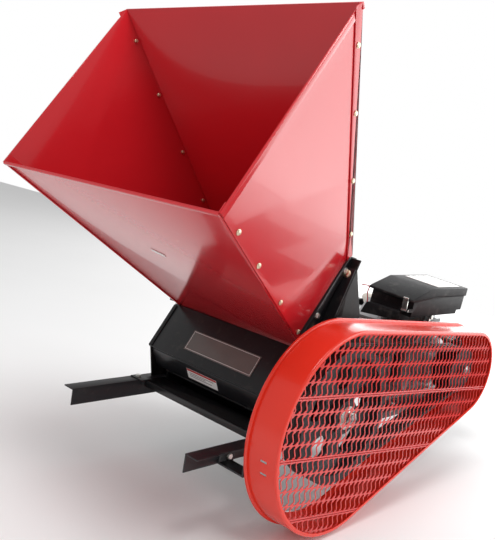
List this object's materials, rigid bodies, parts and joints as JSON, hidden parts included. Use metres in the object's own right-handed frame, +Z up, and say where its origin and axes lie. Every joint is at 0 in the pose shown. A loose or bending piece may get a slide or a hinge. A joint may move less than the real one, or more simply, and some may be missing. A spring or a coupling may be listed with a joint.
{
  "type": "wood chipper",
  "caption": "Engine-driven drum wood chipper on two angle rails with a wide sloping hopper, front chip outlet, belt drive and perforated belt guard.",
  "frame": {"origin": "centre of the four chassis bolts, on the underside of the rails' flanges", "axes": "+X towards the belt guard, +Y towards the engine end, +Z up; the hopper mouth and chip outlet face -Y"},
  "size_m": [0.7899, 1.5782, 1.2152],
  "materials": {
    "black_paint": "satin black coating on frame and housing",
    "red_paint": "glossy crimson powder coat",
    "guard_paint": "glossy orange-red paint",
    "zinc": "zinc plated",
    "steel": "machined steel",
    "cast": "painted grey casting",
    "alloy": "cast aluminium",
    "rubber": "dull black rubber",
    "plastic_black": "grained black plastic",
    "plastic_red": "red plastic",
    "tank_white": "translucent white plastic",
    "label": "blank printed plate",
    "hot_steel": "heat darkened steel"
  },
  "bodies": {
    "chassis": {"rail_left": "black_paint", "rail_right": "black_paint", "cross_members": "black_paint", "engine_plate": "black_paint", "rear_deck": "black_paint", "frame_bolts": "zinc", "housing_side_left": "black_paint", "housing_side_right": "black_paint", "front_cover": "black_paint", "housing_labels": "label", "chip_deflector": "black_paint", "discharge_tray": "black_paint", "belly_pan": "black_paint", "chute_back": "black_paint", "counter_knife": "steel", "bearings": "cast", "v_belts": "rubber", "hopper_left": "red_paint", "hopper_right": "red_paint", "hopper_front": "red_paint", "hopper_back": "red_paint", "hopper_bolts": "zinc", "guard_band": "guard_paint", "guard_mesh": "guard_paint", "guard_arms": "black_paint", "crankcase": "alloy", "cylinders": "alloy", "cylinder_heads": "alloy", "blower_housing": "black_paint", "intake_carburettor": "alloy", "air_cleaner_base": "plastic_black", "air_cleaner_cover": "plastic_black", "air_cleaner_label": "label", "oil_fittings": "plastic_black", "starter_motor": "steel", "exhaust": "hot_steel", "leads_and_hose": "rubber", "battery": "plastic_black", "fuel_tank": "tank_white", "rear_clamps": "black_paint", "control_mounts": "black_paint", "switch_bezels": "zinc"},
    "rotor": {"rotor_shaft": "steel", "rotor_drum": "cast", "drum_knives": "steel", "knife_clamps": "steel", "big_pulley": "cast", "pulley_nut": "zinc"},
    "crank": {"crankshaft": "steel", "small_pulley": "cast", "flywheel_fan": "cast"},
    "throttle": {"throttle_lever": "zinc"},
    "choke": {"choke_lever": "plastic_red"},
    "latch_a": {"latch_front": "zinc"},
    "latch_b": {"latch_rear": "zinc"},
    "dipstick": {"dipstick": "plastic_red"},
    "tank_cap": {"fuel_cap": "plastic_black"},
    "key": {"ignition_key": "zinc"},
    "stop": {"stop_button": "plastic_red"}
  },
  "joints": [
    {"name": "rotor_spin", "type": "hinge", "parent": "chassis", "child": "rotor", "pos_m": [0, -0.531, 0.079], "axis": [1, 0, 0], "continuous": true},
    {"name": "crank_spin", "type": "hinge", "parent": "chassis", "child": "crank", "pos_m": [0, 0.059, 0.139], "axis": [1, 0, 0], "continuous": true},
    {"name": "throttle_turn", "type": "hinge", "parent": "chassis", "child": "throttle", "pos_m": [0.24, 0.034, 0.244], "axis": [1, 0, 0], "range_deg": [-25, 25]},
    {"name": "choke_turn", "type": "hinge", "parent": "chassis", "child": "choke", "pos_m": [0.105, -0.126, 0.289], "axis": [1, 0, 0], "range_deg": [0, 40]},
    {"name": "latch_front_turn", "type": "hinge", "parent": "chassis", "child": "latch_a", "pos_m": [0.266, -0.1815, 0.314], "axis": [1, 0, 0], "range_deg": [0, 80]},
    {"name": "latch_rear_turn", "type": "hinge", "parent": "chassis", "child": "latch_b", "pos_m": [0.232, 0.1535, 0.318], "axis": [1, 0, 0], "range_deg": [-80, 0]},
    {"name": "dipstick_pull", "type": "slide", "parent": "chassis", "child": "dipstick", "axis": [0, 0, 1], "range_m": [0, 0.092]},
    {"name": "tank_cap_turn", "type": "hinge", "parent": "chassis", "child": "tank_cap", "pos_m": [-0.14, 0.395, 0.264], "axis": [0, 0, 1], "continuous": true},
    {"name": "key_turn", "type": "hinge", "parent": "chassis", "child": "key", "pos_m": [-0.285, -0.201, 0.269], "axis": [-1, 0, 0], "range_deg": [0, 90]},
    {"name": "stop_press", "type": "slide", "parent": "chassis", "child": "stop", "axis": [1, 0, 0], "range_m": [0, 0.002], "stiffness_N_per_m": 600}
  ],
  "couplings": [
    {"joint": "crank_spin", "follows": "rotor_spin", "ratio": 2.6355}
  ]
}
